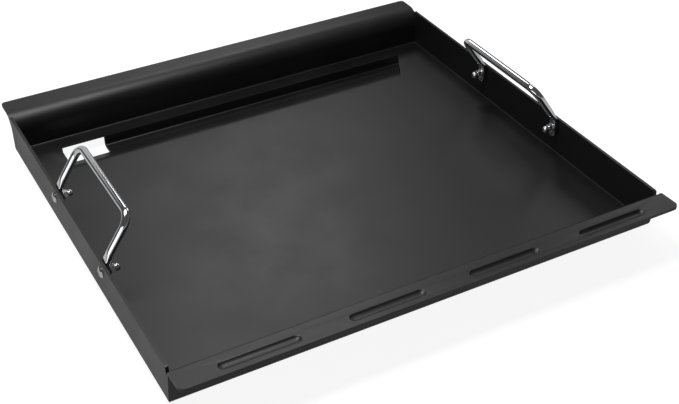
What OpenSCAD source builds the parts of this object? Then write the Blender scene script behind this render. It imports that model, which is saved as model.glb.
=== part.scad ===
// Camp griddle plate: a shallow folded pan with a grease trough and two rod handles.
// Sizes are in millimetres and angles in degrees. X runs to the right, Y to the rear, Z up.

/* [Pan] */
// Outer width of the floor, left to right
pan_w = 508; // [460:1:560]
// Outer depth of the floor, front to rear
pan_d = 439; // [400:1:480]
// Thickness of the sheet
sheet = 3; // [2:0.1:4]
// Height of the side walls above the underside of the floor
side_h = 43; // [38:0.5:50]
// Inside radius of the bend between the floor and the walls
floor_bend = 1.5; // [1:0.5:5]
// Radius of the side walls' upper front corners
wall_corner = 5; // [2:0.5:8]
// Radius of the relief hole at each front corner
relief_r = 2.2; // [1.5:0.1:3]

/* [Front wall and flange] */
// Lean of the front wall out of upright
front_lean = 10.5; // [4:0.5:20]
// How far the top of the front wall stays below the side walls
front_drop = 1.5; // [0:0.5:5]
// Width of the front flange, from the wall to its lip
front_flange = 28; // [26:0.5:36]
// Rise of the front flange out of level
front_rise = 2; // [0:0.5:6]
// Inside radius of the front flange's bend
front_bend = 1; // [0.5:0.5:2.5]
// How far the front flange stands out past the right wall
front_over = 2.9; // [0:0.1:3]
// Radius of the front flange's outer corners
flange_corner = 7; // [3:0.5:10]

/* [Grooves in the front flange] */
// Number of pressed grooves
groove_count = 4; // [2:1:4]
// Length of a groove
groove_len = 76; // [50:1:90]
// Width of a groove
groove_w = 10.5; // [8:0.5:12]
// Depth of a groove
groove_depth = 2.5; // [1:0.1:3]
// Distance from one groove's middle to the next
groove_pitch = 121; // [100:1:125]
// How far the row of grooves sits to the right of the middle
groove_shift = 3; // [-5:0.5:5]
// Distance from the wall to the middle line of the grooves
groove_from = 17.2; // [15.5:0.1:18.5]

/* [Rear flange] */
// Width of the level part of the rear flange
rear_flange = 18.5; // [12:0.5:24]
// How far the rear flange's top stands above the side walls
rear_step = 0.5; // [0.2:0.1:2]
// Inside radius of the roll from the rear wall into its flange
rear_bend = 15; // [8:0.5:17]
// Radius of the rear flange's outer corners
rear_corner = 4.5; // [2:0.5:8]

/* [Grease trough] */
// Distance from the rear edge of the floor to the trough's steep side
trough_back = 22.6; // [16:0.1:30]
// Width of the trough's level bottom
trough_flat = 15; // [12:0.5:22]
// Depth of the trough below the floor
trough_depth = 11.5; // [8:0.5:15]
// Slope of the trough's front side
trough_slope = 24; // [18:1:40]
// Largest radius of the easing at the top and foot of the slope
trough_roll = 25; // [10:1:30]
// Radius of the trough's tight inside bend
trough_bend = 1.5; // [1:0.1:2.5]
// Distance from the left edge of the floor to the trough
trough_left = 43; // [35:0.5:70]
// Distance from the right edge of the floor to the trough
trough_right = 39; // [30:0.5:70]
// Slant of the trough's right end, seen from above
trough_slant = 27; // [0:1:35]
// Radius of the trough's rear left corner, seen from above
trough_corner = 4; // [2:0.5:8]

/* [Drain hole] */
// Length of the drain hole along the trough
drain_len = 48; // [25:1:80]
// Width of the drain hole, forward from the trough's steep side
drain_w = 17.5; // [12:0.5:20]
// Distance from the trough's left end to the drain hole
drain_inset = 2; // [1:0.5:8]

/* [Handles] */
// Diameter of the rod
rod_d = 8; // [6:0.5:9]
// Distance between the two bolts of a handle
bolt_span = 134; // [100:1:180]
// How far the handles sit behind the middle of the floor
handle_shift = 1; // [-10:0.5:10]
// Lean of the handle inward, out of upright
handle_lean = 34; // [20:1:45]
// Height of the grip's centre line above the rod's lower bend
handle_rise = 40.5; // [36:0.5:60]
// Radius of the rod's corners, to its centre line
handle_bend = 13; // [9:1:18]
// Thickness of the flattened rod end
tab_t = 4.5; // [3:0.5:6]
// Width of the flattened rod end
tab_w = 10.5; // [9:0.5:12]
// Distance from the bolt down to the end of the rod
tab_end = 10; // [6:0.5:12]
// How far the bolts sit below the top of the side walls
bolt_drop = 11; // [10:0.5:15]
// How far the rod's lower bend sits below the top of the side walls
knee_drop = 1; // [0:0.5:2]

/* [Fasteners] */
// Diameter of the screw's shank
bolt_d = 5; // [4:0.5:6]
// Gap between the shank and its holes, on each side
bolt_gap = 0.3; // [0.2:0.05:0.4]
// How far the screw reaches into the cap nut
bolt_reach = 6; // [4:0.5:6.5]
// Diameter of the screw's head
head_d = 11.5; // [10:0.5:13]
// Height of the screw's head
head_h = 3; // [2.5:0.1:4]
// Length of the cross in the screw's head
cross_len = 5; // [3:0.5:6]
// Width of the cross in the screw's head
cross_w = 1.1; // [0.8:0.1:1.5]
// Depth of the cross in the screw's head
cross_depth = 1.5; // [0.8:0.1:1.8]
// Diameter of the washer
washer_d = 10; // [9:0.5:12]
// Thickness of the washer
washer_t = 1; // [0.8:0.1:1.6]
// Width of the cap nut across its flats
nut_af = 8; // [8:0.5:10]
// Height of the cap nut's hexagon
nut_hex_h = 4; // [3:0.5:5]
// Whole height of the cap nut
nut_h = 10; // [9.5:0.5:13]

/* [Hidden] */

// Colours: dark coating, bright plating, plain steel
coat = [0.11, 0.11, 0.12];
plate = [0.82, 0.83, 0.85];
steel = [0.66, 0.67, 0.69];

// Extra length for a cut that must pass its face
over = 1;
half_w = pan_w / 2;
half_d = pan_d / 2;
// Height of the floor's underside: the trough's underside stands at zero
floor_z = trough_depth;

// Bend between the floor and the walls
bend_out = floor_bend + sheet;
front_set = bend_out * tan((90 - front_lean) / 2);

// Front flange: corner where the wall's inner face would meet the flange's top
front_turn = 90 - front_lean - front_rise;
front_top = side_h - front_drop;
front_u = front_top * tan(front_lean) - sheet / cos(front_lean);
front_back = (front_bend + sheet) * tan(front_turn / 2);
front_edge = half_d + front_u + over;
front_reach = half_d + front_u + front_flange * cos(front_rise) + sheet * sin(front_rise);

// Rear flange: the rear wall is straight up to the start of its roll
rear_out = rear_bend + sheet;
rear_h = side_h + rear_step - rear_out;
rear_reach = half_d - sheet + rear_out + rear_flange;

// The middle of the whole box from front to rear is the origin
floor_y = (front_reach - rear_reach) / 2;

// Grooves: the pressed section is an arc of a circle
groove_r = (groove_w * groove_w / 4 + groove_depth * groove_depth) / (2 * groove_depth);
groove_bar = groove_len - groove_w;
groove_first = groove_shift - groove_pitch * (groove_count - 1) / 2;

// Trough section, from the floor's middle and underside
trough_y1 = half_d - trough_back;
trough_y0 = trough_y1 - trough_flat;
trough_top_y = trough_y0 - trough_depth / tan(trough_slope);
trough_z = sheet - trough_depth;
trough_face = trough_depth / sin(trough_slope);
roll_r = min(trough_roll, 0.45 * trough_face / tan(trough_slope / 2));
roll_set = roll_r * tan(trough_slope / 2);
trough_x0 = trough_left - half_w;
trough_x1 = half_w - trough_right;

// Handles and bolts, on the right side
wall_x = half_w - sheet;
knee_x = wall_x - tab_t / 2;
knee_z = side_h - knee_drop;
bolt_z = side_h - bolt_drop;
rod_r = rod_d / 2;
leg_len = handle_rise / cos(handle_lean);
neck_len = rod_d;
// The neck ends in a small shoulder around the rod
shoulder = 0.25;
neck_half = rod_r + 2 * shoulder;
neck_clear = (neck_half * cos(handle_lean) - tab_t / 2) / sin(handle_lean);
leg_start = neck_len - over;
tab_r = tab_w / 2;
hole_r = bolt_d / 2 + bolt_gap;
head_r = head_d / 2;
head_ball = (head_r * head_r + head_h * head_h) / (2 * head_h);
bolt_len = sheet + tab_t + washer_t + bolt_reach;
dome_r = nut_af / 2 - 0.25;
nut_bore = bolt_reach + 1.5;

griddle_pan();
left_handle();
right_handle();
left_front_screw();
left_rear_screw();
right_front_screw();
right_rear_screw();
left_front_washer();
left_rear_washer();
right_front_washer();
right_rear_washer();
left_front_cap_nut();
left_rear_cap_nut();
right_front_cap_nut();
right_rear_cap_nut();

// Named pieces

module griddle_pan() {
  color(coat)
    translate([0, floor_y, floor_z])
      difference() {
        union() {
          tub();
          front_fold();
          rear_fold();
          trough_body();
          groove_backs();
        }
        trough_hollow();
        drain_cut();
        groove_fronts();
        flange_corners();
        wall_corners();
        corner_reliefs();
        bolt_holes();
      }
}

module left_handle() {
  color(plate) mirror([1, 0, 0]) handle();
}

module right_handle() {
  color(plate) handle();
}

module left_front_screw() {
  color(steel) mirror([1, 0, 0]) at_bolt(-1) screw();
}

module left_rear_screw() {
  color(steel) mirror([1, 0, 0]) at_bolt(1) screw();
}

module right_front_screw() {
  color(steel) at_bolt(-1) screw();
}

module right_rear_screw() {
  color(steel) at_bolt(1) screw();
}

module left_front_washer() {
  color(steel) mirror([1, 0, 0]) at_bolt(-1) washer();
}

module left_rear_washer() {
  color(steel) mirror([1, 0, 0]) at_bolt(1) washer();
}

module right_front_washer() {
  color(steel) at_bolt(-1) washer();
}

module right_rear_washer() {
  color(steel) at_bolt(1) washer();
}

module left_front_cap_nut() {
  color(plate) mirror([1, 0, 0]) at_bolt(-1) cap_nut();
}

module left_rear_cap_nut() {
  color(plate) mirror([1, 0, 0]) at_bolt(1) cap_nut();
}

module right_front_cap_nut() {
  color(plate) at_bolt(-1) cap_nut();
}

module right_rear_cap_nut() {
  color(plate) at_bolt(1) cap_nut();
}

// Pan: floor and four walls

// Draws a section of Y and Z and runs it along X
module along_x(length) {
  rotate([90, 0, 90]) linear_extrude(length, center = true) children();
}

// Draws a section of X and Z and runs it along Y
module along_y(length) {
  rotate([90, 0, 0]) linear_extrude(length, center = true) children();
}

module tub() {
  difference() {
    tub_block(0, side_h);
    tub_block(sheet, side_h + over);
    along_x(pan_w + 2 * over) front_place() translate([0, -pan_d]) square([pan_d, pan_d]);
    along_x(pan_w - 2 * sheet) translate([half_d - 2 * sheet, rear_h]) square([3 * sheet, side_h]);
  }
}

// Solid shape of the pan, drawn in from its outer faces by the inset
module tub_block(inset, top) {
  intersection() {
    along_x(pan_w + 2 * over) tub_side_2d(inset, top);
    along_y(pan_d + 4 * side_h) tub_end_2d(inset, top);
  }
}

module tub_side_2d(inset, top) {
  r = bend_out - inset;
  front_c = [front_set - half_d, bend_out];
  rear_c = [half_d - bend_out, bend_out];
  polygon([
    [front_c[0], inset],
    [rear_c[0], inset],
    [half_d - inset, rear_c[1]],
    [half_d - inset, top],
    [inset / cos(front_lean) - half_d - top * tan(front_lean), top],
    front_c - r * [cos(front_lean), sin(front_lean)]
  ]);
  translate(front_c) circle(r);
  translate(rear_c) circle(r);
}

module tub_end_2d(inset, top) {
  r = bend_out - inset;
  x = half_w - bend_out;
  polygon([
    [-x, inset],
    [x, inset],
    [half_w - inset, bend_out],
    [half_w - inset, top],
    [inset - half_w, top],
    [inset - half_w, bend_out]
  ]);
  translate([x, bend_out]) circle(r);
  translate([-x, bend_out]) circle(r);
}

// Flanges

// Sheet that comes along the X axis, bends to the right at the origin and then runs straight.
// Its tail laps the wall that it continues.
module fold_2d(radius, angle, length, tail) {
  // The straight run sits a hair below the bend's crown, so that the two cross cleanly
  crown = cos(3);
  outer = radius + sheet;
  far = outer + length + over;
  translate([0, -outer])
    difference() {
      union() {
        circle(outer);
        translate([-tail, 0]) square([tail, outer]);
        rotate(-angle) square([length, crown * outer]);
      }
      circle(radius);
      translate([-far, -far]) square([far, far + radius]);
      rotate(-angle) translate([0, -far]) square([far, far + crown * radius]);
    }
}

// Where the front wall stops and its flange's bend starts
module front_place() {
  u = front_u - front_back * sin(front_lean);
  mirror([1, 0])
    translate([half_d + u, front_top - front_back * cos(front_lean)])
      rotate(90 - front_lean)
        children();
}

module front_fold() {
  translate([front_over / 2, 0, 0])
    along_x(pan_w + front_over)
      front_place()
        fold_2d(front_bend, front_turn, front_flange - front_back, front_bend + sheet);
}

module rear_fold() {
  along_x(pan_w)
    translate([half_d - sheet, rear_h])
      rotate(90)
        fold_2d(rear_bend, 90, rear_flange, 2 * sheet);
}

module flange_corners() {
  corner_cut(-1, -1, half_w, front_reach, flange_corner);
  corner_cut(1, -1, half_w + front_over, front_reach, flange_corner);
  corner_cut(-1, 1, half_w, rear_reach, rear_corner);
  corner_cut(1, 1, half_w, rear_reach, rear_corner);
  corner_cut(1, 1, half_w + front_over, -front_edge, relief_r);
  translate([half_w, -front_edge, 0]) cube([front_over + over, front_edge, 2 * side_h]);
}

// Rounds one outer corner of a flange, seen from above
module corner_cut(side, end, half, reach, radius) {
  translate([side * (half - radius), end * reach - end * radius, side_h / 2])
    linear_extrude(side_h)
      difference() {
        scale_2d(side, end) square(radius + over);
        circle(radius);
      }
}

// Rounds the upper front corner of each side wall, seen from the side
module wall_corners() {
  for (side = [-1, 1])
    translate([side * (half_w - sheet / 2), wall_corner - half_d - front_u, side_h - wall_corner])
      rotate([90, 0, 90])
        linear_extrude(sheet, center = true)
          difference() {
            translate([-wall_corner, 0]) square([wall_corner, wall_corner + over]);
            circle(wall_corner);
          }
}

// Relief hole where the front flange's bend meets each side wall
module corner_reliefs() {
  for (side = [-1, 1])
    translate([side * (half_w - sheet / 2), -half_d - front_u, front_top - 2 * relief_r])
      cylinder(h = side_h, r = relief_r);
}

// Turns a shape into the quarter named by the two signs
module scale_2d(side, end) {
  mirror([side < 0 ? 1 : 0, 0]) mirror([0, end < 0 ? 1 : 0]) children();
}

// Grooves

// Frame on the front flange: its top is Z = 0 and its lip lies towards -Y
module on_front_flange() {
  translate([0, -half_d - front_u, front_top]) rotate([-front_rise, 0, 0]) children();
}

module groove_bar_shape(radius) {
  rotate([0, 90, 0]) cylinder(h = groove_bar, r = radius, center = true);
  for (end = [-1, 1]) translate([end * groove_bar / 2, 0, 0]) sphere(radius);
}

module each_groove() {
  on_front_flange()
    for (i = [0 : groove_count - 1])
      translate([groove_first + i * groove_pitch, -groove_from, 0])
        children();
}

// Hollows on the flange's top
module groove_fronts() {
  each_groove() translate([0, 0, groove_r - groove_depth]) groove_bar_shape(groove_r);
}

// Ribs on the flange's underside
module groove_backs() {
  deep = groove_depth + sheet;
  wide = 2 * groove_r + 2 * sheet;
  each_groove()
    intersection() {
      translate([0, 0, groove_r - groove_depth]) groove_bar_shape(groove_r + sheet);
      translate([0, 0, -deep / 2 - sheet / 2]) cube([groove_len + wide, wide, deep], center = true);
    }
}

// Trough and drain

module trough_body() {
  intersection() {
    along_x(pan_w) trough_out_2d();
    translate([0, 0, -2 * trough_depth]) linear_extrude(4 * trough_depth) trough_plan_2d(sheet);
  }
}

module trough_hollow() {
  intersection() {
    along_x(pan_w) trough_in_2d();
    translate([0, 0, -2 * trough_depth]) linear_extrude(4 * trough_depth) trough_plan_2d(0);
  }
}

// Outline of the trough seen from above, grown by the margin
module trough_plan_2d(margin) {
  r = trough_corner + margin;
  left = trough_x0 - margin;
  rear = trough_y1 + margin;
  front = trough_top_y - 2 * roll_set;
  right = trough_x1 + margin / cos(trough_slant);
  polygon([
    [left, front],
    [right - (trough_y1 - front) * tan(trough_slant), front],
    [right + margin * tan(trough_slant), rear],
    [left + r, rear],
    [left, rear - r]
  ]);
  translate([left + r, rear - r]) circle(r);
}

// Section of the hollow, open above the floor
module trough_in_2d() {
  roll_y = trough_top_y - roll_set;
  foot_y = trough_y0 + roll_set;
  way = [cos(trough_slope), -sin(trough_slope)];
  foot = [trough_y0, trough_z] - roll_set * way;
  difference() {
    union() {
      polygon([
        [roll_y, sheet + over],
        [roll_y, sheet],
        [trough_top_y, sheet] + roll_set * way,
        foot,
        [foot_y, trough_z],
        [trough_y1 - trough_bend, trough_z],
        [trough_y1, trough_z + trough_bend],
        [trough_y1, sheet + over]
      ]);
      intersection() {
        translate([foot_y, trough_z + roll_r]) circle(roll_r);
        polygon([foot, [trough_y0, trough_z - over], [foot_y, trough_z - over], [foot_y, trough_z]]);
      }
      translate([trough_y1 - trough_bend, trough_z + trough_bend]) circle(trough_bend);
    }
    translate([roll_y, sheet - roll_r]) circle(roll_r);
  }
}

// Section of the trough with its sheet, up into the floor
module trough_out_2d() {
  r = roll_r - sheet;
  set = r * tan(trough_slope / 2);
  roll_y = trough_top_y - roll_set;
  low = trough_z - sheet;
  way = [cos(trough_slope), -sin(trough_slope)];
  bend = trough_bend + sheet;
  back = trough_y1 + sheet;
  difference() {
    union() {
      polygon([
        [roll_y, sheet / 2],
        [roll_y, 0],
        [roll_y + set, 0] + set * way,
        [trough_y0 - sheet * tan(trough_slope / 2), low],
        [back - bend, low],
        [back, low + bend],
        [back, sheet / 2]
      ]);
      translate([back - bend, low + bend]) circle(bend);
    }
    translate([roll_y, sheet - roll_r]) circle(r);
  }
}

module drain_cut() {
  translate([trough_x0 + drain_inset, trough_y1 - drain_w, -2 * trough_depth])
    cube([drain_len, drain_w + sheet + over / 2, 2 * trough_depth + sheet + over]);
}

module bolt_holes() {
  for (side = [-1, 1])
    for (end = [-1, 1])
      translate([side * half_w, handle_shift + end * bolt_span / 2, bolt_z])
        rotate([0, 90, 0])
          cylinder(h = 4 * sheet, r = hole_r, center = true);
}

// Handles

// Frame of the right handle: knee of the rod, midway between its two ends
module at_knee() {
  translate([knee_x, floor_y + handle_shift, floor_z + knee_z]) children();
}

module handle() {
  at_knee()
    difference() {
      union() {
        rotate([0, -handle_lean, 0]) rod();
        for (end = [-1, 1])
          translate([0, end * bolt_span / 2, 0]) {
            tab();
            neck();
          }
      }
      for (end = [-1, 1])
        translate([0, end * bolt_span / 2, bolt_z - knee_z])
          rotate([0, 90, 0])
            cylinder(h = tab_t + 2 * over, r = hole_r, center = true);
    }
}

// Round part of the rod, standing on the plane Z = 0
module rod() {
  straight = leg_len - handle_bend;
  half = bolt_span / 2;
  for (end = [0, 1])
    mirror([0, end, 0]) {
      translate([0, half, leg_start]) cylinder(h = straight - leg_start, r = rod_r);
      translate([0, half - handle_bend, straight])
        rotate([90, 0, 90])
          rotate_extrude(angle = 90)
            translate([handle_bend, 0])
              circle(rod_r);
    }
  translate([0, 0, leg_len])
    rotate([90, 0, 0])
      cylinder(h = bolt_span - 2 * handle_bend, r = rod_r, center = true);
}

// Flattened end of the rod
module tab() {
  low = bolt_z - knee_z - tab_end + tab_r;
  high = -tab_r / 2;
  rotate([90, 0, 90])
    linear_extrude(tab_t, center = true) {
      translate([-tab_r, low]) square([tab_w, high - low]);
      translate([0, low]) circle(tab_r);
      translate([0, high]) circle(tab_r);
    }
}

// Tapered neck between the flattened end and the round rod
module neck() {
  up = [-sin(handle_lean), cos(handle_lean)];
  out = [cos(handle_lean), sin(handle_lean)];
  face = tab_t / 2;
  intersection() {
    rotate([0, -handle_lean, 0])
      translate([0, 0, -neck_len])
        cylinder(h = 2 * neck_len, r1 = tab_r * 1.3, r2 = rod_r + shoulder);
    along_y(tab_w)
      polygon([
        [face, -tab_w],
        [-face, -tab_w],
        [-face, -rod_r],
        neck_len * up - neck_half * out,
        (neck_len + over) * up - neck_half * out,
        (neck_len + over) * up + neck_half * out,
        neck_clear * up + neck_half * out
      ]);
  }
}

// Fasteners

// Frame of one bolt on the right side: outer face of the wall, with the screw along -X
module at_bolt(end) {
  translate([half_w, floor_y + handle_shift + end * bolt_span / 2, floor_z + bolt_z])
    rotate([0, -90, 0])
      children();
}

module screw() {
  cylinder(h = bolt_len, r = bolt_d / 2);
  difference() {
    intersection() {
      translate([0, 0, head_ball - head_h]) sphere(head_ball);
      translate([0, 0, -head_h]) cylinder(h = head_h, r = head_r);
    }
    for (turn = [0, 90])
      rotate([0, 0, turn])
        translate([0, 0, -head_h])
          cube([cross_len, cross_w, 2 * cross_depth], center = true);
  }
}

module washer() {
  translate([0, 0, sheet + tab_t])
    difference() {
      cylinder(h = washer_t, r = washer_d / 2);
      translate([0, 0, -over]) cylinder(h = washer_t + 2 * over, r = hole_r);
    }
}

module cap_nut() {
  translate([0, 0, sheet + tab_t + washer_t])
    difference() {
      union() {
        cylinder(h = nut_hex_h, d = nut_af / cos(30), $fn = 6);
        cylinder(h = nut_h - dome_r, r = dome_r);
        translate([0, 0, nut_h - dome_r]) sphere(dome_r);
      }
      translate([0, 0, -over]) cylinder(h = nut_bore + over, r = hole_r);
    }
}
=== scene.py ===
"""Camp griddle plate: a coated sheet pan with two chromed rod handles, dressed for the eye.

Sizes are in millimetres, as in the part's source, and meshes are in metres. X runs to the
right, Y to the rear where the grease trough is, and Z up.
"""

import logging
from collections.abc import Callable
from dataclasses import dataclass
from enum import Enum
from math import atan2, cos, pi, radians, sin, sqrt, tan
from typing import Any, NamedTuple

import bmesh
import bpy
from mathutils import Matrix, Vector


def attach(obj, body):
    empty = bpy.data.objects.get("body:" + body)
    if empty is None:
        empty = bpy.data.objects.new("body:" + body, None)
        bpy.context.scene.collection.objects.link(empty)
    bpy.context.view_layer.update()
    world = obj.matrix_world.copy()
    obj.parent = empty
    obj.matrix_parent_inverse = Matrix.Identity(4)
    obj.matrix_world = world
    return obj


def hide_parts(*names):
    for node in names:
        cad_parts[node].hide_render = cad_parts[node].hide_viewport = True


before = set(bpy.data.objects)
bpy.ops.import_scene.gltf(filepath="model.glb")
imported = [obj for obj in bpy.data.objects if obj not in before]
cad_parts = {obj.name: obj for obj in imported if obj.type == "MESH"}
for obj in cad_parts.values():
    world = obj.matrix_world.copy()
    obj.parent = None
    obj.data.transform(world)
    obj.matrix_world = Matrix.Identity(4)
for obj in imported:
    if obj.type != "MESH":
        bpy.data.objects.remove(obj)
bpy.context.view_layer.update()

log = logging.getLogger("camp_griddle_plate")

MM = 0.001
Point = tuple[float, float, float]

# Sizes in millimetres that the handles and the bolts share
BOLT_SPAN = 134.0
BOLT_Y = 0.6141
BOLT_HOLE_D = 5.6
TAB_T = 4.5
# Points nearer to each other than this, in a mesh's own unit, are the same point
SAME_POINT = 2e-6
# Range in which most values of a noise texture lie
NOISE_LOW = 0.3
NOISE_HIGH = 0.7


class Side(Enum):
    """Side of the pan, with the sign of X there."""

    LEFT = -1
    RIGHT = 1


class End(Enum):
    """End of a handle, with the sign of Y there."""

    FRONT = -1
    REAR = 1


class Slot(Enum):
    """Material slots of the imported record."""

    COATING = "black_coating"
    ROD = "chrome_rod"
    SCREW = "plated_screw"
    WASHER = "steel_washer"
    NUT = "chrome_nut"


# Nodes and colours


def linear(hex_colour: str) -> tuple[float, float, float, float]:
    """Turns an sRGB hex value to a linear colour.

    Args:
        hex_colour: Colour such as "#1A1A1A".

    Returns:
        Red, green, blue and an alpha of one.
    """
    parts = [int(hex_colour[i:i + 2], 16) / 255 for i in (1, 3, 5)]
    red, green, blue = (p / 12.92 if p <= 0.04045 else ((p + 0.055) / 1.055) ** 2.4 for p in parts)
    return red, green, blue, 1.0


def per_metre(size_mm: float) -> float:
    """Gives the texture scale at which one feature is this many millimetres wide."""
    return 1.0 / (size_mm * MM)


def add_node(
    tree: bpy.types.NodeTree,
    kind: str,
    settings: dict[str, Any] | None = None,
    inputs: dict[str | int, Any] | None = None,
) -> bpy.types.Node:
    """Adds a node, sets its properties, and fills or links its sockets.

    Args:
        tree: Node tree that takes the node.
        kind: Type name of the node.
        settings: Properties of the node and their values.
        inputs: Sockets by name or number, each with a value or an output socket to link.

    Returns:
        The new node.
    """
    node = tree.nodes.new(kind)
    for name, value in (settings or {}).items():
        setattr(node, name, value)
    for key, value in (inputs or {}).items():
        if isinstance(value, bpy.types.NodeSocket):
            tree.links.new(value, node.inputs[key])
        else:
            node.inputs[key].default_value = value
    return node


def new_tree(name: str) -> tuple[bpy.types.Material, bpy.types.NodeTree]:
    """Starts an empty node material.

    Args:
        name: Name of the material.

    Returns:
        The material and its cleared node tree.
    """
    material = bpy.data.materials.new(name)
    material.use_nodes = True
    material.node_tree.nodes.clear()
    return material, material.node_tree


# Finishes


@dataclass(frozen=True)
class BakedBlackCoating:
    """Black coating, sprayed on folded steel sheet and baked.

    It gives an even satin black that mirrors its surroundings softly, with the faint
    orange peel of a sprayed coat and slightly duller and shinier clouds.
    """

    name: str = "baked_black_coating_on_steel"
    dark: str = "#080808"
    light: str = "#0D0D0D"
    ior: float = 1.5
    dull: float = 0.48
    shiny: float = 0.40
    cloud_mm: float = 60.0
    # Real orange peel is under a millimetre wide: it is drawn coarser so that it shows
    peel_mm: float = 2.2
    peel_height_mm: float = 0.012

    def material(self) -> bpy.types.Material:
        """Builds the material.

        Returns:
            The node material.
        """
        material, tree = new_tree(self.name)
        place = add_node(tree, "ShaderNodeTexCoord")
        clouds = add_node(tree, "ShaderNodeTexNoise", {}, {
            "Vector": place.outputs["Object"], "Scale": per_metre(self.cloud_mm),
            "Detail": 5.0, "Roughness": 0.6})
        peel = add_node(tree, "ShaderNodeTexNoise", {}, {
            "Vector": place.outputs["Object"], "Scale": per_metre(self.peel_mm),
            "Detail": 2.0, "Roughness": 0.5})
        colour = add_node(tree, "ShaderNodeMix", {"data_type": "RGBA"}, {
            0: clouds.outputs["Fac"], 6: linear(self.dark), 7: linear(self.light)})
        gloss = add_node(tree, "ShaderNodeMapRange", {}, {
            "Value": clouds.outputs["Fac"], "From Min": NOISE_LOW, "From Max": NOISE_HIGH,
            "To Min": self.shiny, "To Max": self.dull})
        bump = add_node(tree, "ShaderNodeBump", {}, {
            "Height": peel.outputs["Fac"], "Strength": 1.0, "Distance": self.peel_height_mm * MM})
        shader = add_node(tree, "ShaderNodeBsdfPrincipled", {}, {
            "Base Color": colour.outputs[2], "Roughness": gloss.outputs["Result"],
            "IOR": self.ior, "Normal": bump.outputs["Normal"]})
        add_node(tree, "ShaderNodeOutputMaterial", {}, {"Surface": shader.outputs["BSDF"]})
        return material


@dataclass(frozen=True)
class PlatedMetal:
    """Plated metal: a mirror of its surroundings, with faint clouds and fine lines.

    The lines are the drawing or turning marks of the steel below the plating, and they
    run along one axis, so that reflections stretch a little across them.
    """

    name: str
    bright: str
    cloudy: str
    smooth: float
    rough: float
    cloud_mm: float
    line_mm: float
    line_height_mm: float
    stretch: Point

    def material(self) -> bpy.types.Material:
        """Builds the material.

        Returns:
            The node material.
        """
        material, tree = new_tree(self.name)
        place = add_node(tree, "ShaderNodeTexCoord")
        along = add_node(tree, "ShaderNodeMapping", {}, {
            "Vector": place.outputs["Object"], "Scale": self.stretch})
        clouds = add_node(tree, "ShaderNodeTexNoise", {}, {
            "Vector": place.outputs["Object"], "Scale": per_metre(self.cloud_mm),
            "Detail": 4.0, "Roughness": 0.55})
        lines = add_node(tree, "ShaderNodeTexNoise", {}, {
            "Vector": along.outputs["Vector"], "Scale": per_metre(self.line_mm),
            "Detail": 2.0, "Roughness": 0.5})
        colour = add_node(tree, "ShaderNodeMix", {"data_type": "RGBA"}, {
            0: clouds.outputs["Fac"], 6: linear(self.bright), 7: linear(self.cloudy)})
        gloss = add_node(tree, "ShaderNodeMapRange", {}, {
            "Value": clouds.outputs["Fac"], "From Min": NOISE_LOW, "From Max": NOISE_HIGH,
            "To Min": self.smooth, "To Max": self.rough})
        bump = add_node(tree, "ShaderNodeBump", {}, {
            "Height": lines.outputs["Fac"], "Strength": 1.0, "Distance": self.line_height_mm * MM})
        shader = add_node(tree, "ShaderNodeBsdfPrincipled", {}, {
            "Base Color": colour.outputs[2], "Metallic": 1.0,
            "Roughness": gloss.outputs["Result"], "Normal": bump.outputs["Normal"]})
        add_node(tree, "ShaderNodeOutputMaterial", {}, {"Surface": shader.outputs["BSDF"]})
        return material


# Bright chrome on a drawn rod: a clear mirror with white and black bands
CHROME_ROD = PlatedMetal(
    name="bright_chrome_on_drawn_steel_rod", bright="#E2E3E5", cloudy="#D3D5D8",
    smooth=0.07, rough=0.13, cloud_mm=18.0, line_mm=1.6, line_height_mm=0.002, stretch=(1.0, 0.08, 1.0))
# Bright chrome on a pressed cap nut: the same mirror, a little sharper on its small dome
CHROME_NUT = PlatedMetal(
    name="bright_chrome_on_pressed_steel_nut", bright="#E0E1E3", cloudy="#CED0D3",
    smooth=0.08, rough=0.15, cloud_mm=6.0, line_mm=0.9, line_height_mm=0.002, stretch=(0.2, 1.0, 1.0))
# Nickel plating on a cold-headed screw: slightly warm and greyer than chrome
NICKEL_SCREW = PlatedMetal(
    name="bright_nickel_on_headed_steel_screw", bright="#D2D1CE", cloudy="#B4B3B0",
    smooth=0.08, rough=0.15, cloud_mm=5.0, line_mm=0.8, line_height_mm=0.004, stretch=(1.0, 1.0, 1.0))
# Zinc plating on a stamped washer: a soft grey with a broad sheen
ZINC_WASHER = PlatedMetal(
    name="zinc_plating_on_stamped_steel_washer", bright="#C3C5C8", cloudy="#A4A7AB",
    smooth=0.22, rough=0.36, cloud_mm=4.0, line_mm=0.7, line_height_mm=0.006, stretch=(1.0, 1.0, 1.0))


# Mesh helpers


def shade(mesh: bpy.types.Mesh, smooth_deg: float) -> None:
    """Shades a mesh smooth, apart from its sharp edges.

    Args:
        mesh: Mesh to shade.
        smooth_deg: Edges that turn less than this are shaded smooth.
    """
    mesh.shade_smooth()
    mesh.set_sharp_from_angle(angle=radians(smooth_deg))


def new_piece(bm: bmesh.types.BMesh, name: str, smooth_deg: float) -> bpy.types.Object:
    """Makes an object at the origin from a finished bmesh, which is freed.

    Args:
        bm: Closed mesh in metres, in the shared frame.
        name: Name of the piece.
        smooth_deg: Edges that turn less than this are shaded smooth.

    Returns:
        The new object, linked to the scene.
    """
    mesh = bpy.data.meshes.new(name)
    bm.to_mesh(mesh)
    bm.free()
    shade(mesh, smooth_deg)
    piece = bpy.data.objects.new(name, mesh)
    bpy.context.scene.collection.objects.link(piece)
    return piece


def ring_edges(ring: list[bmesh.types.BMVert]) -> list[bmesh.types.BMEdge]:
    """Lists the edges that join a ring's own points.

    Args:
        ring: Points of the ring.

    Returns:
        Its edges.
    """
    inside = set(ring)
    return list({e for v in ring for e in v.link_edges if e.verts[0] in inside and e.verts[1] in inside})


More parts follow.
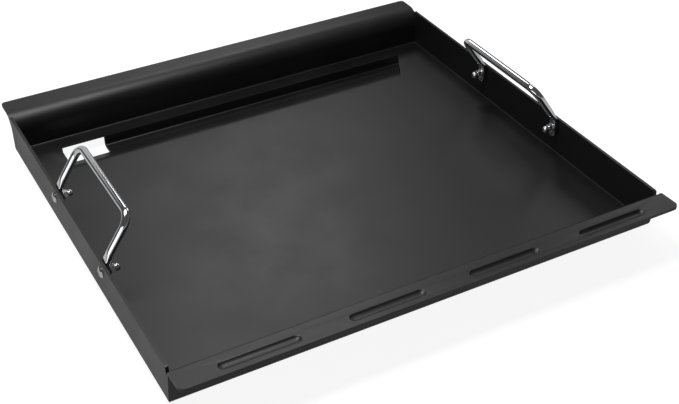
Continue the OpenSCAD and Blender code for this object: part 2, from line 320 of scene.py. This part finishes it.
def grow(bm: bmesh.types.BMesh, ring: list[bmesh.types.BMVert]) -> list[bmesh.types.BMVert]:
    """Extrudes a ring in place.

    Args:
        bm: Mesh that grows.
        ring: Points of the ring.

    Returns:
        Points of the new ring, which still lie on the old ones.
    """
    grown = bmesh.ops.extrude_edge_only(bm, edges=ring_edges(ring))["geom"]
    return [g for g in grown if isinstance(g, bmesh.types.BMVert)]


def close_ends(bm: bmesh.types.BMesh, dist: float = SAME_POINT) -> None:
    """Merges doubles, caps every open ring and turns all faces outwards.

    Args:
        bm: Mesh to close.
        dist: Points nearer to each other than this become one.
    """
    bmesh.ops.remove_doubles(bm, verts=bm.verts, dist=dist)
    open_edges = [e for e in bm.edges if e.is_boundary]
    if open_edges:
        bmesh.ops.edgeloop_fill(bm, edges=open_edges)
    bmesh.ops.recalc_face_normals(bm, faces=bm.faces)


def turned(profile: list[tuple[float, float]], steps: int) -> bmesh.types.BMesh:
    """Spins a half profile about the Z axis.

    Args:
        profile: Points of radius and height in millimetres, from axis to axis or closed.
        steps: Steps in the full turn.

    Returns:
        The spun mesh, in millimetres.
    """
    bm = bmesh.new()
    points = [bm.verts.new((r, 0.0, z)) for r, z in profile]
    lines = [bm.edges.new(pair) for pair in zip(points, points[1:])]
    bmesh.ops.spin(bm, geom=points + lines, cent=(0, 0, 0), axis=(0, 0, 1), dvec=(0, 0, 0),
                   angle=2 * pi, steps=steps, use_merge=True)
    close_ends(bm)
    return bm


def cut_from(piece: bpy.types.Object, cutter: bmesh.types.BMesh) -> None:
    """Takes a closed shape out of a piece and keeps the result as its mesh.

    Args:
        piece: Object that is cut.
        cutter: Closed mesh in metres, which is freed.
    """
    knife = new_piece(cutter, "knife", 0.0)
    cut = piece.modifiers.new("cut", "BOOLEAN")
    cut.operation = "DIFFERENCE"
    cut.solver = "EXACT"
    cut.object = knife
    graph = bpy.context.evaluated_depsgraph_get()
    mesh = bpy.data.meshes.new_from_object(piece.evaluated_get(graph))
    piece.modifiers.remove(cut)
    piece.data = mesh
    bpy.data.objects.remove(knife)


def dress(piece: bpy.types.Object, material: bpy.types.Material, node: str) -> None:
    """Gives a piece its finish and puts it in the place of a node.

    Args:
        piece: The finished object.
        material: Its only material.
        node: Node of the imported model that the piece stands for.
    """
    piece.data.materials.clear()
    piece.data.materials.append(material)
    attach(piece, "root")
    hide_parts(node)
    log.info("%s: %d faces for %s", piece.name, len(piece.data.polygons), node)


# Pan


@dataclass
class GriddlePan:
    """Folded pan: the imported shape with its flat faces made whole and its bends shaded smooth."""

    node: str = "griddle_pan"
    flat_deg: float = 0.05
    smooth_deg: float = 22.0
    # Points nearer to each other than this become one
    speck_mm: float = 0.001

    def build(self, coating: bpy.types.Material) -> bpy.types.Object:
        """Builds and dresses the pan.

        Args:
            coating: Material of the whole sheet.

        Returns:
            The finished pan.
        """
        bm = bmesh.new()
        bm.from_mesh(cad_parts[self.node].data)
        bmesh.ops.remove_doubles(bm, verts=bm.verts, dist=self.speck_mm * MM)
        bmesh.ops.dissolve_limit(bm, angle_limit=radians(self.flat_deg), verts=bm.verts, edges=bm.edges)
        bmesh.ops.triangulate(bm, faces=[f for f in bm.faces if len(f.verts) > 4])
        pan = new_piece(bm, "coated_pan", self.smooth_deg)
        # Large flat faces lead the shading, so that long thin ones beside them do not streak
        even = pan.modifiers.new("even_normals", "WEIGHTED_NORMAL")
        even.keep_sharp = True
        even.weight = 100
        dress(pan, coating, self.node)
        return pan


# Handles


class Ring(NamedTuple):
    """Ring of points on a rod, the rod's direction there, and its distance along the rod."""

    points: list[bmesh.types.BMVert]
    way: Vector
    far: float


@dataclass
class RodHandle:
    """Bent rod with two ends pressed flat, bolted inside a side wall."""

    side: Side
    rod_d: float = 8.0
    lean: float = 34.0
    rise: float = 40.5
    corner: float = 13.0
    knee_bend: float = 9.0
    tab_w: float = 10.5
    tab_end: float = -20.0
    bolt_down: float = -10.0
    press_top: float = 1.0
    neck_top: float = 12.0
    # How far a pressed ring turns from round to square
    squareness: float = 0.6
    # Lead that leaves the first ring of the rounded end some width
    tip_lead: float = 0.12
    # Knee of the right handle's rod, midway between its ends
    knee: Point = (248.75, BOLT_Y, 53.5)
    around: int = 40
    hole_around: int = 32
    # Steps along the rod, close where its end is round and where the neck fades out
    end_steps: tuple[float, ...] = (0.3, 0.5, 0.8, 1.1, 1.4, 1.6, 2.0, 2.5, 2.5)
    neck_steps: tuple[float, ...] = (1.2, 1.2, 1.4, 1.6, 2.0, 2.4)
    knee_steps: int = 6
    corner_steps: int = 16
    grip_steps: int = 4
    seam: float = 0.01
    smooth_deg: float = 40.0

    def build(self, chrome: bpy.types.Material) -> bpy.types.Object:
        """Builds and dresses the handle.

        Args:
            chrome: Material of the rod.

        Returns:
            The finished handle.
        """
        bm = self._swept()
        self._to_place(bm)
        name = self.side.name.lower()
        handle = new_piece(bm, f"{name}_rod_handle", self.smooth_deg)
        for end in End:
            cut_from(handle, self._hole(end))
        shade(handle.data, self.smooth_deg)
        dress(handle, chrome, f"{name}_handle")
        return handle

    def _to_place(self, bm: bmesh.types.BMesh) -> None:
        """Moves a mesh from the knee's frame in millimetres to its side of the pan.

        Args:
            bm: Mesh to move.
        """
        to_side = Matrix.Diagonal((self.side.value, 1, 1, 1))
        place = Matrix.Scale(MM, 4) @ to_side @ Matrix.Translation(self.knee)
        bmesh.ops.transform(bm, matrix=place, verts=bm.verts)
        bmesh.ops.recalc_face_normals(bm, faces=bm.faces)

    def _hole(self, end: End) -> bmesh.types.BMesh:
        """Makes the cutter of one bolt hole, in its place.

        Args:
            end: End of the handle that the hole is in.

        Returns:
            The closed cutter, in metres.
        """
        bm = bmesh.new()
        middle = Matrix.Translation((0, end.value * BOLT_SPAN / 2, self.bolt_down))
        radius = BOLT_HOLE_D / 2
        bmesh.ops.create_cone(bm, cap_ends=True, segments=self.hole_around, radius1=radius, radius2=radius,
                              depth=3 * TAB_T, matrix=middle @ Matrix.Rotation(pi / 2, 4, "Y"))
        self._to_place(bm)
        return bm

    def _swept(self) -> bmesh.types.BMesh:
        """Sweeps a ring from one flat end to the middle of the grip, presses it and mirrors it.

        Returns:
            The closed rod about the knee, in millimetres.
        """
        bm = bmesh.new()
        half = BOLT_SPAN / 2
        lean = radians(self.lean)
        up = Vector((0, 0, 1))
        start = Matrix.Translation((0, half, self.tab_end))
        points = bmesh.ops.create_circle(
            bm, cap_ends=False, segments=self.around, radius=self.rod_d / 2, matrix=start)["verts"]
        rings = [Ring(points, up, self.tab_end)]
        # Straight flat end
        set_back = self.knee_bend * tan(lean / 2)
        for step in self.end_steps:
            rings.append(self._run(bm, rings[-1], up, step))
        rings.append(self._run(bm, rings[-1], up, -set_back - rings[-1].far))
        # Lower bend
        middle = Vector((-self.knee_bend, half, -set_back))
        turn = lean / self.knee_steps
        for _ in range(self.knee_steps):
            rings.append(self._bend(bm, rings[-1], middle, turn, 2 * set_back / self.knee_steps))
        # Leg
        way = Vector((-sin(lean), 0, cos(lean)))
        leg = self.rise / cos(lean) - self.corner
        for step in self.neck_steps:
            rings.append(self._run(bm, rings[-1], way, step))
        rings.append(self._run(bm, rings[-1], way, leg - rings[-1].far))
        for ring in rings:
            self._press(ring)
        # Upper corner and half of the grip
        last = bmesh.ops.spin(
            bm, geom=ring_edges(rings[-1].points), cent=way * leg + Vector((0, half - self.corner, 0)),
            axis=Vector((cos(lean), 0, sin(lean))), dvec=(0, 0, 0), angle=pi / 2,
            steps=self.corner_steps)["geom_last"]
        grip = Ring([g for g in last if isinstance(g, bmesh.types.BMVert)], up, 0.0)
        for _ in range(self.grip_steps):
            grip = self._run(bm, grip, Vector((0, -1, 0)), (half - self.corner) / self.grip_steps)
        # Other half
        bmesh.ops.remove_doubles(bm, verts=bm.verts, dist=self.seam)
        bmesh.ops.mirror(bm, geom=bm.verts[:] + bm.edges[:] + bm.faces[:], axis="Y", merge_dist=self.seam)
        close_ends(bm, self.seam)
        return bm

    @staticmethod
    def _run(bm: bmesh.types.BMesh, last: Ring, way: Vector, step: float) -> Ring:
        """Extrudes the last ring straight on.

        Args:
            bm: Mesh that grows.
            last: Ring to start from.
            way: Direction of the run.
            step: Length of the run.

        Returns:
            The new ring.
        """
        points = grow(bm, last.points)
        bmesh.ops.translate(bm, verts=points, vec=way * step)
        return Ring(points, way, last.far + step)

    @staticmethod
    def _bend(bm: bmesh.types.BMesh, last: Ring, middle: Vector, turn: float, step: float) -> Ring:
        """Extrudes the last ring round the lower bend by one step.

        Args:
            bm: Mesh that grows.
            last: Ring to start from.
            middle: Middle of the bend.
            turn: Angle of the step.
            step: Distance that the step stands for.

        Returns:
            The new ring.
        """
        rotation = Matrix.Rotation(-turn, 3, "Y")
        points = grow(bm, last.points)
        bmesh.ops.rotate(bm, verts=points, cent=middle, matrix=rotation)
        return Ring(points, rotation @ last.way, last.far + step)

    def _press(self, ring: Ring) -> None:
        """Presses one ring flat where it lies in the flat end or its neck.

        Args:
            ring: Ring to press.
        """
        share = min(1.0, max(0.0, (self.neck_top - ring.far) / (self.neck_top - self.press_top)))
        pressed = share * share * (3 - 2 * share)
        round_r = self.rod_d / 2
        thick = round_r + pressed * (TAB_T / 2 - round_r)
        wide = round_r + pressed * (self.tab_w / 2 - round_r)
        power = 1.0 - self.squareness * pressed
        end = min(1.0, (ring.far - self.tab_end + self.tip_lead) / (self.tab_w / 2))
        wide *= sqrt(1 - (1 - end) ** 2)
        middle = sum((v.co for v in ring.points), Vector()) / len(ring.points)
        across = Vector((0, 1, 0))
        outward = across.cross(ring.way)
        for v in ring.points:
            a = (v.co - middle).dot(outward) / round_r
            b = (v.co - middle).dot(across) / round_r
            flat_a = (1 if a > 0 else -1) * min(1.0, abs(a)) ** power
            flat_b = (1 if b > 0 else -1) * min(1.0, abs(b)) ** power
            v.co = middle + outward * flat_a * thick + across * flat_b * wide


# Fasteners


@dataclass
class BoltSet:
    """Screw, washer and cap nut of one bolt, along the axis from the wall inwards."""

    side: Side
    end: End
    sheet: float = 3.0
    shank_d: float = 4.9
    reach: float = 6.0
    tip_ease: float = 0.6
    head_d: float = 11.4
    head_h: float = 2.9
    head_rim: float = 0.5
    head_ease: float = 0.12
    head_rings: int = 9
    cross_len: float = 5.0
    cross_w: float = 1.1
    cross_depth: float = 1.6
    # Size of the cross at its foot, as shares of its size at the top
    cross_foot: Point = (0.62, 0.8, 1.0)
    washer_d: float = 10.0
    washer_t: float = 1.0
    washer_ease: float = 0.2
    nut_af: float = 8.0
    nut_hex_h: float = 4.0
    nut_h: float = 10.0
    nut_ease: float = 0.55
    nut_ease_rings: int = 4
    # How far the nut's seat and shoulder stay inside its flats, and the shoulder's height
    nut_seat: float = 0.1
    nut_shoulder: float = 0.15
    nut_shoulder_h: float = 0.12
    # How far the nut's bore runs past the screw's tip
    bore_past: float = 1.5
    dome_r: float = 3.75
    dome_rings: int = 12
    # Outer face of the right wall, midway between the two bolts
    wall: Point = (254.0, BOLT_Y, 43.5)
    around: int = 48
    smooth_deg: float = 35.0
    nut_smooth_deg: float = 28.0

    @property
    def label(self) -> str:
        """Names the bolt by its side and end."""
        return f"{self.side.name.lower()}_{self.end.name.lower()}"

    @property
    def washer_low(self) -> float:
        """Gives the height of the washer's seat on the flat rod end."""
        return self.sheet + TAB_T

    @property
    def nut_low(self) -> float:
        """Gives the height of the nut's seat on the washer."""
        return self.washer_low + self.washer_t

    def build(
        self,
        nickel: bpy.types.Material,
        zinc: bpy.types.Material,
        chrome: bpy.types.Material,
    ) -> list[bpy.types.Object]:
        """Builds and dresses the three pieces.

        Args:
            nickel: Material of the screw.
            zinc: Material of the washer.
            chrome: Material of the cap nut.

        Returns:
            Screw, washer and cap nut.
        """
        screw = new_piece(self._to_place(self._screw()), f"{self.label}_cross_screw", self.smooth_deg)
        for turn in (0.0, pi / 2):
            cut_from(screw, self._to_place(self._cross(turn)))
        shade(screw.data, self.smooth_deg)
        dress(screw, nickel, f"{self.label}_screw")
        washer = new_piece(self._to_place(self._washer()), f"{self.label}_flat_washer", self.smooth_deg)
        dress(washer, zinc, f"{self.label}_washer")
        nut = new_piece(self._to_place(self._cap_nut()), f"{self.label}_domed_nut", self.nut_smooth_deg)
        dress(nut, chrome, f"{self.label}_cap_nut")
        return [screw, washer, nut]

    def _to_place(self, bm: bmesh.types.BMesh) -> bmesh.types.BMesh:
        """Moves a mesh from the bolt's axis in millimetres to its place in metres.

        Args:
            bm: Mesh to move.

        Returns:
            The same mesh.
        """
        x, y, z = self.wall
        to_bolt = Matrix.Translation((x, y + self.end.value * BOLT_SPAN / 2, z))
        to_side = Matrix.Diagonal((self.side.value, 1, 1, 1))
        place = Matrix.Scale(MM, 4) @ to_side @ to_bolt @ Matrix.Rotation(-pi / 2, 4, "Y")
        bmesh.ops.transform(bm, matrix=place, verts=bm.verts)
        bmesh.ops.recalc_face_normals(bm, faces=bm.faces)
        return bm

    def _screw(self) -> bmesh.types.BMesh:
        """Turns the shank and the domed head.

        Returns:
            The closed screw about its axis, in millimetres.
        """
        head_r = self.head_d / 2
        rise = self.head_h - self.head_rim
        ball = (head_r ** 2 + rise ** 2) / (2 * rise)
        radii = [head_r * i / self.head_rings for i in range(self.head_rings + 1)]
        crown = [(r, ball - self.head_h - sqrt(ball ** 2 - r ** 2)) for r in radii]
        shank_r = self.shank_d / 2
        tip = self.nut_low + self.reach
        shank = [(head_r, -self.head_ease), (head_r - self.head_ease, 0.0), (shank_r, 0.0),
                 (shank_r, tip - self.tip_ease), (shank_r - self.tip_ease, tip), (0.0, tip)]
        return turned(crown + shank, self.around)

    def _cross(self, turn: float) -> bmesh.types.BMesh:
        """Makes the cutter of one bar of the cross, narrower at its foot.

        Args:
            turn: Turn of the bar about the screw's axis.

        Returns:
            The closed cutter, in millimetres.
        """
        bm = bmesh.new()
        bmesh.ops.create_cube(bm, size=1.0)
        size = Matrix.Diagonal((self.cross_len, self.cross_w, 2 * self.cross_depth, 1))
        bmesh.ops.transform(bm, matrix=size, verts=bm.verts)
        foot = [v for v in bm.verts if v.co.z > 0]
        bmesh.ops.scale(bm, verts=foot, vec=self.cross_foot)
        place = Matrix.Translation((0, 0, -self.head_h)) @ Matrix.Rotation(turn, 4, "Z")
        bmesh.ops.transform(bm, matrix=place, verts=bm.verts)
        return bm

    def _washer(self) -> bmesh.types.BMesh:
        """Turns the washer, with the rolled edge of a stamped one.

        Returns:
            The closed washer about its axis, in millimetres.
        """
        low, high = self.washer_low, self.nut_low
        hole, rim = BOLT_HOLE_D / 2, self.washer_d / 2
        ease = self.washer_ease
        profile = [(hole, low), (rim - ease / 2, low), (rim, low + ease / 2), (rim, high - ease),
                   (rim - ease, high), (hole + ease, high), (hole, high - ease), (hole, low)]
        return turned(profile, self.around)

    def _nut_rings(self) -> list[tuple[Callable[[float], float], float]]:
        """Lists the nut's rings: bore, seat, chamfered hexagon, shoulder and dome.

        Returns:
            For each ring a function that gives its radius at an angle, and its height.
        """
        flat = self.nut_af / 2
        corner = flat / cos(pi / 6)
        seat = flat - self.nut_seat

        def eased(limit: float) -> Callable[[float], float]:
            """Gives the hexagon's radius, cut back to a cone's radius."""
            return lambda angle: min(limit, flat / cos((angle + pi / 6) % (pi / 3) - pi / 6))

        def plain(radius: float) -> Callable[[float], float]:
            """Gives the same radius all round."""
            return lambda angle: radius

        bore = plain(BOLT_HOLE_D / 2)
        rings = [(bore, self.reach + self.bore_past), (bore, 0.0), (plain(seat), 0.0)]
        step = self.nut_ease / self.nut_ease_rings
        cone = [(i / self.nut_ease_rings) * (corner - seat) + seat for i in range(1, self.nut_ease_rings + 1)]
        rings += [(eased(r), step * (i + 1)) for i, r in enumerate(cone)]
        rings += [(eased(r), self.nut_hex_h - step * i) for i, r in reversed(list(enumerate(cone)))]
        rings.append((plain(flat - self.nut_shoulder), self.nut_hex_h))
        rings.append((plain(self.dome_r), self.nut_hex_h + self.nut_shoulder_h))
        for i in range(self.dome_rings):
            turn = pi / 2 * i / self.dome_rings
            rings.append((plain(self.dome_r * cos(turn)), self.nut_h - self.dome_r + self.dome_r * sin(turn)))
        return rings

    def _cap_nut(self) -> bmesh.types.BMesh:
        """Grows the cap nut ring by ring.

        Returns:
            The closed nut about the bolt's axis, in millimetres.
        """
        bm = bmesh.new()
        ring = bmesh.ops.create_circle(bm, cap_ends=False, segments=self.around, radius=1.0)["verts"]
        for number, (radius, height) in enumerate(self._nut_rings()):
            if number:
                ring = grow(bm, ring)
            for v in ring:
                angle = atan2(v.co.y, v.co.x)
                v.co = (radius(angle) * cos(angle), radius(angle) * sin(angle), self.nut_low + height)
        close_ends(bm)
        return bm


# Studio


@dataclass(frozen=True)
class SoftBox:
    """Lamp with an even white face, sizes in metres."""

    name: str
    place: Point
    aim: Point
    wide: float
    high: float
    watts: float

    def hang(self) -> None:
        """Adds the lamp to the scene, turned to its aim."""
        light = bpy.data.lights.new(self.name, "AREA")
        light.shape = "RECTANGLE"
        light.size = self.wide
        light.size_y = self.high
        light.energy = self.watts
        lamp = bpy.data.objects.new(self.name, light)
        lamp.location = self.place
        way = Vector(self.aim) - Vector(self.place)
        lamp.rotation_euler = way.to_track_quat("-Z", "Y").to_euler()
        bpy.context.scene.collection.objects.link(lamp)


LAMPS = (
    SoftBox("overhead_soft_box", (-0.27, 0.05, 1.0), (-0.27, 0.05, 0.0), 0.7, 0.35, 9.5),
    SoftBox("rear_right_soft_box", (0.45, 1.12, 1.12), (-0.1, -0.1, 0.0), 0.5, 0.45, 3.2),
    SoftBox("rear_panel", (-0.05, 1.25, 0.45), (0.0, 0.0, 0.1), 1.5, 0.9, 1.9),
    SoftBox("right_soft_box", (1.2, 0.6, 0.8), (0.2, -0.2, 0.05), 0.5, 0.5, 1.7),
    SoftBox("left_front_panel", (-1.42, -0.76, 0.30), (-0.25, 0.0, 0.1), 1.4, 0.6, 4.2),
)


@dataclass
class Studio:
    """Plain pale floor, soft light, and the camera at the picture's angle."""

    floor_m: float = 14.0
    # The floor lies a hair below the part, so that their faces never share a plane
    floor_drop_mm: float = 0.2
    floor_colour: str = "#888888"
    floor_seen: float = 0.9
    floor_mirrored: float = 0.36
    world_seen: float = 1.0
    world_mirrored: float = 0.08
    world_light: float = 0.05
    lamps: tuple[SoftBox, ...] = LAMPS
    camera_place: Point = (-0.466987, -0.917382, 0.722503)
    camera_turn: Point = (54.59378, 0.51391, -28.62362)
    lens: float = 63.984
    sensor_mm: float = 36.0
    near: float = 0.01
    distant: float = 100.0

    def build(self) -> None:
        """Sets up floor, world, lamps, camera and view."""
        self._floor()
        self._world()
        for lamp in self.lamps:
            lamp.hang()
        self._camera()
        bpy.context.scene.view_settings.view_transform = "Standard"

    @staticmethod
    def _by_ray(tree: bpy.types.NodeTree, light: float, mirrored: float, seen: float) -> bpy.types.NodeSocket:
        """Adds nodes for a strength that depends on what the ray is for.

        Args:
            tree: Node tree that takes the nodes.
            light: Strength as light on the object.
            mirrored: Strength in mirrors and through glass.
            seen: Strength straight to the camera.

        Returns:
            The socket with the strength.
        """
        path = add_node(tree, "ShaderNodeLightPath")
        in_mirror = add_node(tree, "ShaderNodeMath", {"operation": "MAXIMUM"}, {
            0: path.outputs["Is Glossy Ray"], 1: path.outputs["Is Transmission Ray"]})
        unseen = add_node(tree, "ShaderNodeMapRange", {}, {
            "Value": in_mirror.outputs[0], "To Min": light, "To Max": mirrored})
        strength = add_node(tree, "ShaderNodeMapRange", {}, {
            "Value": path.outputs["Is Camera Ray"], "To Min": unseen.outputs["Result"], "To Max": seen})
        return strength.outputs["Result"]

    def _floor(self) -> None:
        """Lays the floor, which looks white and still takes the object's shadow."""
        bm = bmesh.new()
        bmesh.ops.create_grid(bm, x_segments=1, y_segments=1, size=self.floor_m / 2)
        bmesh.ops.translate(bm, verts=bm.verts, vec=(0, 0, -self.floor_drop_mm * MM))
        floor = new_piece(bm, "studio_floor", 0.0)
        material, tree = new_tree("matt_white_studio_floor")
        shader = add_node(tree, "ShaderNodeBsdfPrincipled", {}, {
            "Base Color": linear(self.floor_colour), "Roughness": 0.9, "Specular IOR Level": 0.0,
            "Emission Color": (1, 1, 1, 1),
            "Emission Strength": self._by_ray(tree, 0.0, self.floor_mirrored, self.floor_seen)})
        add_node(tree, "ShaderNodeOutputMaterial", {}, {"Surface": shader.outputs["BSDF"]})
        floor.data.materials.append(material)

    def _world(self) -> None:
        """Sets a surround that is white to the camera and dim as light."""
        world = bpy.data.worlds.new("studio_surround")
        bpy.context.scene.world = world
        world.use_nodes = True
        tree = world.node_tree
        tree.nodes.clear()
        light = add_node(tree, "ShaderNodeBackground", {}, {
            "Color": (1, 1, 1, 1),
            "Strength": self._by_ray(tree, self.world_light, self.world_mirrored, self.world_seen)})
        add_node(tree, "ShaderNodeOutputWorld", {}, {"Surface": light.outputs["Background"]})

    def _camera(self) -> None:
        """Sets the camera where the picture was taken from."""
        camera = bpy.data.cameras.new("picture_camera")
        camera.sensor_width = self.sensor_mm
        camera.lens = self.lens
        camera.clip_start = self.near
        camera.clip_end = self.distant
        holder = bpy.data.objects.new("picture_camera", camera)
        holder.location = self.camera_place
        holder.rotation_euler = [radians(a) for a in self.camera_turn]
        bpy.context.scene.collection.objects.link(holder)
        bpy.context.scene.camera = holder


def main() -> None:
    """Builds the studio and every piece in order."""
    logging.basicConfig(level=logging.INFO, format="%(name)s %(message)s")
    Studio().build()
    coating = BakedBlackCoating().material()
    chrome_rod = CHROME_ROD.material()
    chrome_nut = CHROME_NUT.material()
    nickel = NICKEL_SCREW.material()
    zinc = ZINC_WASHER.material()
    GriddlePan().build(coating)
    for side in Side:
        RodHandle(side).build(chrome_rod)
        for end in End:
            BoltSet(side, end).build(nickel, zinc, chrome_nut)


if __name__ == "__main__":
    main()
